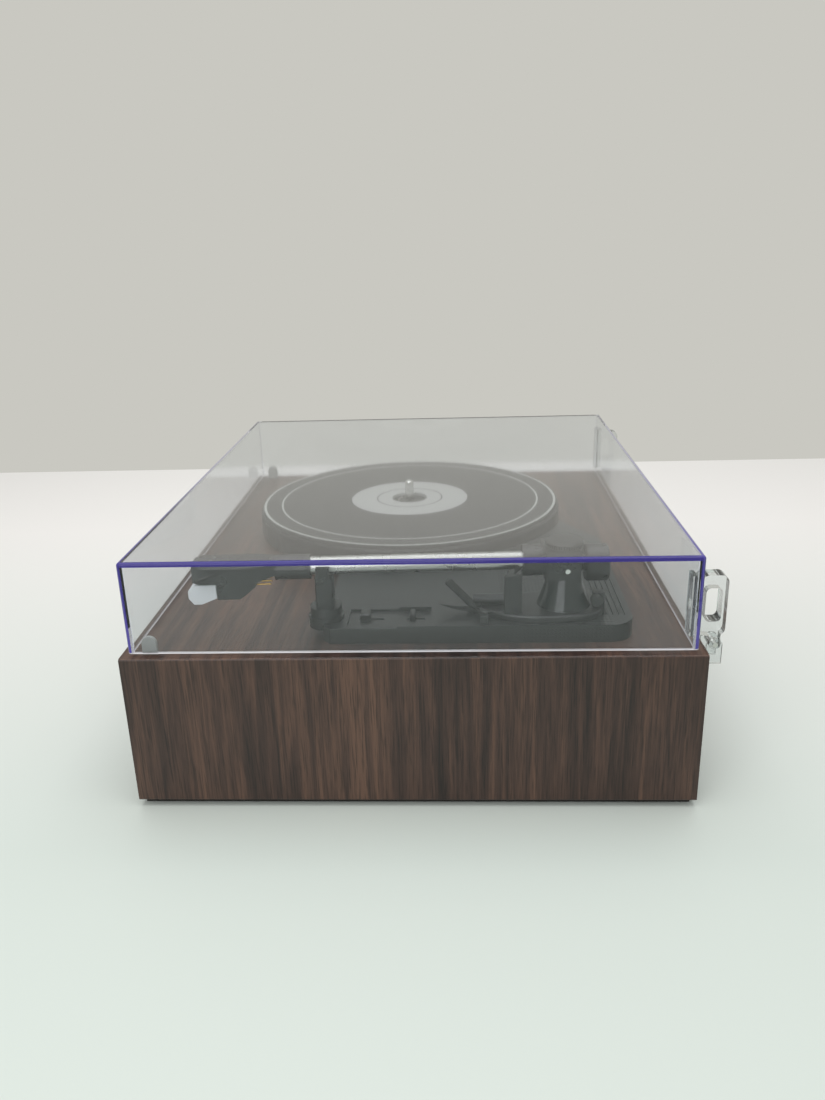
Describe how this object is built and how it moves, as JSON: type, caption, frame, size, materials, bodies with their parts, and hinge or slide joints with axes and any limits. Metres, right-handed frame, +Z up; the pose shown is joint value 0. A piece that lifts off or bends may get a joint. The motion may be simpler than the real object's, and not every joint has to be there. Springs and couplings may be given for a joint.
{
  "type": "record player",
  "caption": "Belt-drive record player in a walnut wrapped box with built-in speakers, straight tonearm and clear hinged cover.",
  "frame": {"origin": "under the middle of the whole object, where its feet stand", "axes": "+X to the player's right where the tonearm is, +Y to its back where the hinges are, +Z up"},
  "size_m": [0.412, 0.371, 0.164],
  "materials": {
    "walnut_wrap": "walnut grain wrap, satin",
    "black_mdf": "dark painted board",
    "raw_wood": "raw softwood",
    "black_abs": "textured black",
    "gloss_black": "gloss black",
    "clear_styrene": "clear, tinted edges",
    "soft_clear": "frosted silicone",
    "black_rubber": "matt rubber",
    "mat_rubber": "ribbed mat with silver rings",
    "platter_alloy": "dark cast",
    "steel": "machined",
    "brass": "turned",
    "tube_alloy": "satin tube",
    "speaker_cloth": "woven cloth",
    "guard_plastic": "milky white",
    "circuit": "circuit board",
    "zinc": "zinc plated"
  },
  "bodies": {
    "plinth": {"arm_rest_post": "black_abs", "aux_jack": "black_abs", "back_board": "walnut_wrap", "base_screws": "zinc", "bearing_housing": "brass", "bottom_cover": "black_mdf", "corner_blocks": "raw_wood", "dc_inlet": "black_abs", "deck_board": "walnut_wrap", "deck_screws": "zinc", "dial_ring": "tube_alloy", "drive_belt": "black_rubber", "front_baffle": "walnut_wrap", "hinge_feet": "clear_styrene", "hinge_pins": "steel", "left_grille": "speaker_cloth", "left_side_board": "walnut_wrap", "left_speaker": "black_abs", "lift_tower": "black_abs", "main_board": "circuit", "motor": "zinc", "motor_bracket": "zinc", "motor_grommets": "black_rubber", "pivot_cone": "gloss_black", "pivot_pod": "black_abs", "rca_jacks": "brass", "rear_jack_plate": "black_abs", "right_grille": "speaker_cloth", "right_side_board": "walnut_wrap", "right_speaker": "black_abs", "rubber_feet": "black_rubber", "thrust_ball": "steel", "tonearm_plate": "black_abs", "volume_pot": "black_abs"},
    "cover": {"dust_cover": "clear_styrene", "cover_bumpers": "soft_clear", "hinge_clips": "clear_styrene"},
    "turning_platter": {"platter": "platter_alloy", "platter_mat": "mat_rubber", "spindle": "steel", "hub_screws": "zinc"},
    "motor_rotor": {"motor_pulley": "brass"},
    "arm_gimbal": {"gimbal_yoke": "black_abs", "pivot_screws": "steel", "yoke_cap": "black_abs"},
    "tonearm": {"arm_block": "black_abs", "arm_tube": "tube_alloy", "headshell": "black_abs", "cartridge": "black_abs", "cartridge_pins": "brass", "stylus_unit": "black_abs"},
    "balance_weight": {"counterweight": "black_abs"},
    "guard": {"stylus_guard": "guard_plastic"},
    "lift": {"lift_bar": "black_abs"},
    "lever": {"cue_lever": "black_abs"},
    "speed_slider": {"speed_switch": "black_abs"},
    "stop_slider": {"stop_switch": "black_abs"},
    "skate_dial": {"anti_skate_knob": "black_abs"},
    "volume_dial": {"volume_knob": "tube_alloy"},
    "power_switch": {"power_rocker": "black_abs"}
  },
  "joints": [
    {"name": "cover_hinge", "type": "hinge", "parent": "plinth", "child": "cover", "pos_m": [0, 0.18, 0.107], "axis": [-1, 0, 0], "range_deg": [0, 60]},
    {"name": "platter_spin", "type": "hinge", "parent": "plinth", "child": "turning_platter", "pos_m": [-0.046, -0.0105, 0.104], "axis": [0, 0, 1], "continuous": true},
    {"name": "motor_spin", "type": "hinge", "parent": "plinth", "child": "motor_rotor", "pos_m": [-0.11247, -0.07697, 0.104], "axis": [0, 0, 1], "continuous": true},
    {"name": "arm_swing", "type": "hinge", "parent": "plinth", "child": "arm_gimbal", "pos_m": [0.161, 0.095, 0.104], "axis": [0, 0, -1], "range_deg": [0, 52]},
    {"name": "arm_tilt", "type": "hinge", "parent": "arm_gimbal", "child": "tonearm", "pos_m": [0.161, 0.095, 0.1458], "axis": [-0.9993, -0.0384, 0], "range_deg": [0, 2]},
    {"name": "counterweight_slide", "type": "slide", "parent": "tonearm", "child": "balance_weight", "axis": [-0.0384, 0.9993, 0], "range_m": [0, 0.006]},
    {"name": "stylus_guard_slide", "type": "slide", "parent": "tonearm", "child": "guard", "axis": [0.0384, -0.9993, 0], "range_m": [0, 0.02]},
    {"name": "cue_lever_turn", "type": "hinge", "parent": "plinth", "child": "lever", "pos_m": [0.18, 0.045, 0.1196], "axis": [-1, 0, 0], "range_deg": [0, 40]},
    {"name": "cue_lift", "type": "slide", "parent": "plinth", "child": "lift", "axis": [0, 0, 1], "range_m": [0, 0.0047]},
    {"name": "speed_select", "type": "slide", "parent": "plinth", "child": "speed_slider", "axis": [0, 1, 0], "range_m": [0, 0.0096]},
    {"name": "auto_stop_select", "type": "slide", "parent": "plinth", "child": "stop_slider", "axis": [0, 1, 0], "range_m": [0, 0.0059]},
    {"name": "anti_skate_turn", "type": "hinge", "parent": "plinth", "child": "skate_dial", "pos_m": [0.17, 0.1138, 0.1258], "axis": [1, 0, 0], "range_deg": [0, 270]},
    {"name": "volume_turn", "type": "hinge", "parent": "plinth", "child": "volume_dial", "pos_m": [0, -0.18, 0.0485], "axis": [0, -1, 0], "range_deg": [-135, 135]},
    {"name": "power_press", "type": "hinge", "parent": "plinth", "child": "power_switch", "pos_m": [0.038, 0.175, 0.042], "axis": [1, 0, 0], "range_deg": [0, 12]}
  ],
  "couplings": [
    {"joint": "motor_spin", "follows": "platter_spin", "ratio": 14},
    {"joint": "cue_lift", "follows": "cue_lever_turn", "m_per_rad": 0.0067313}
  ]
}
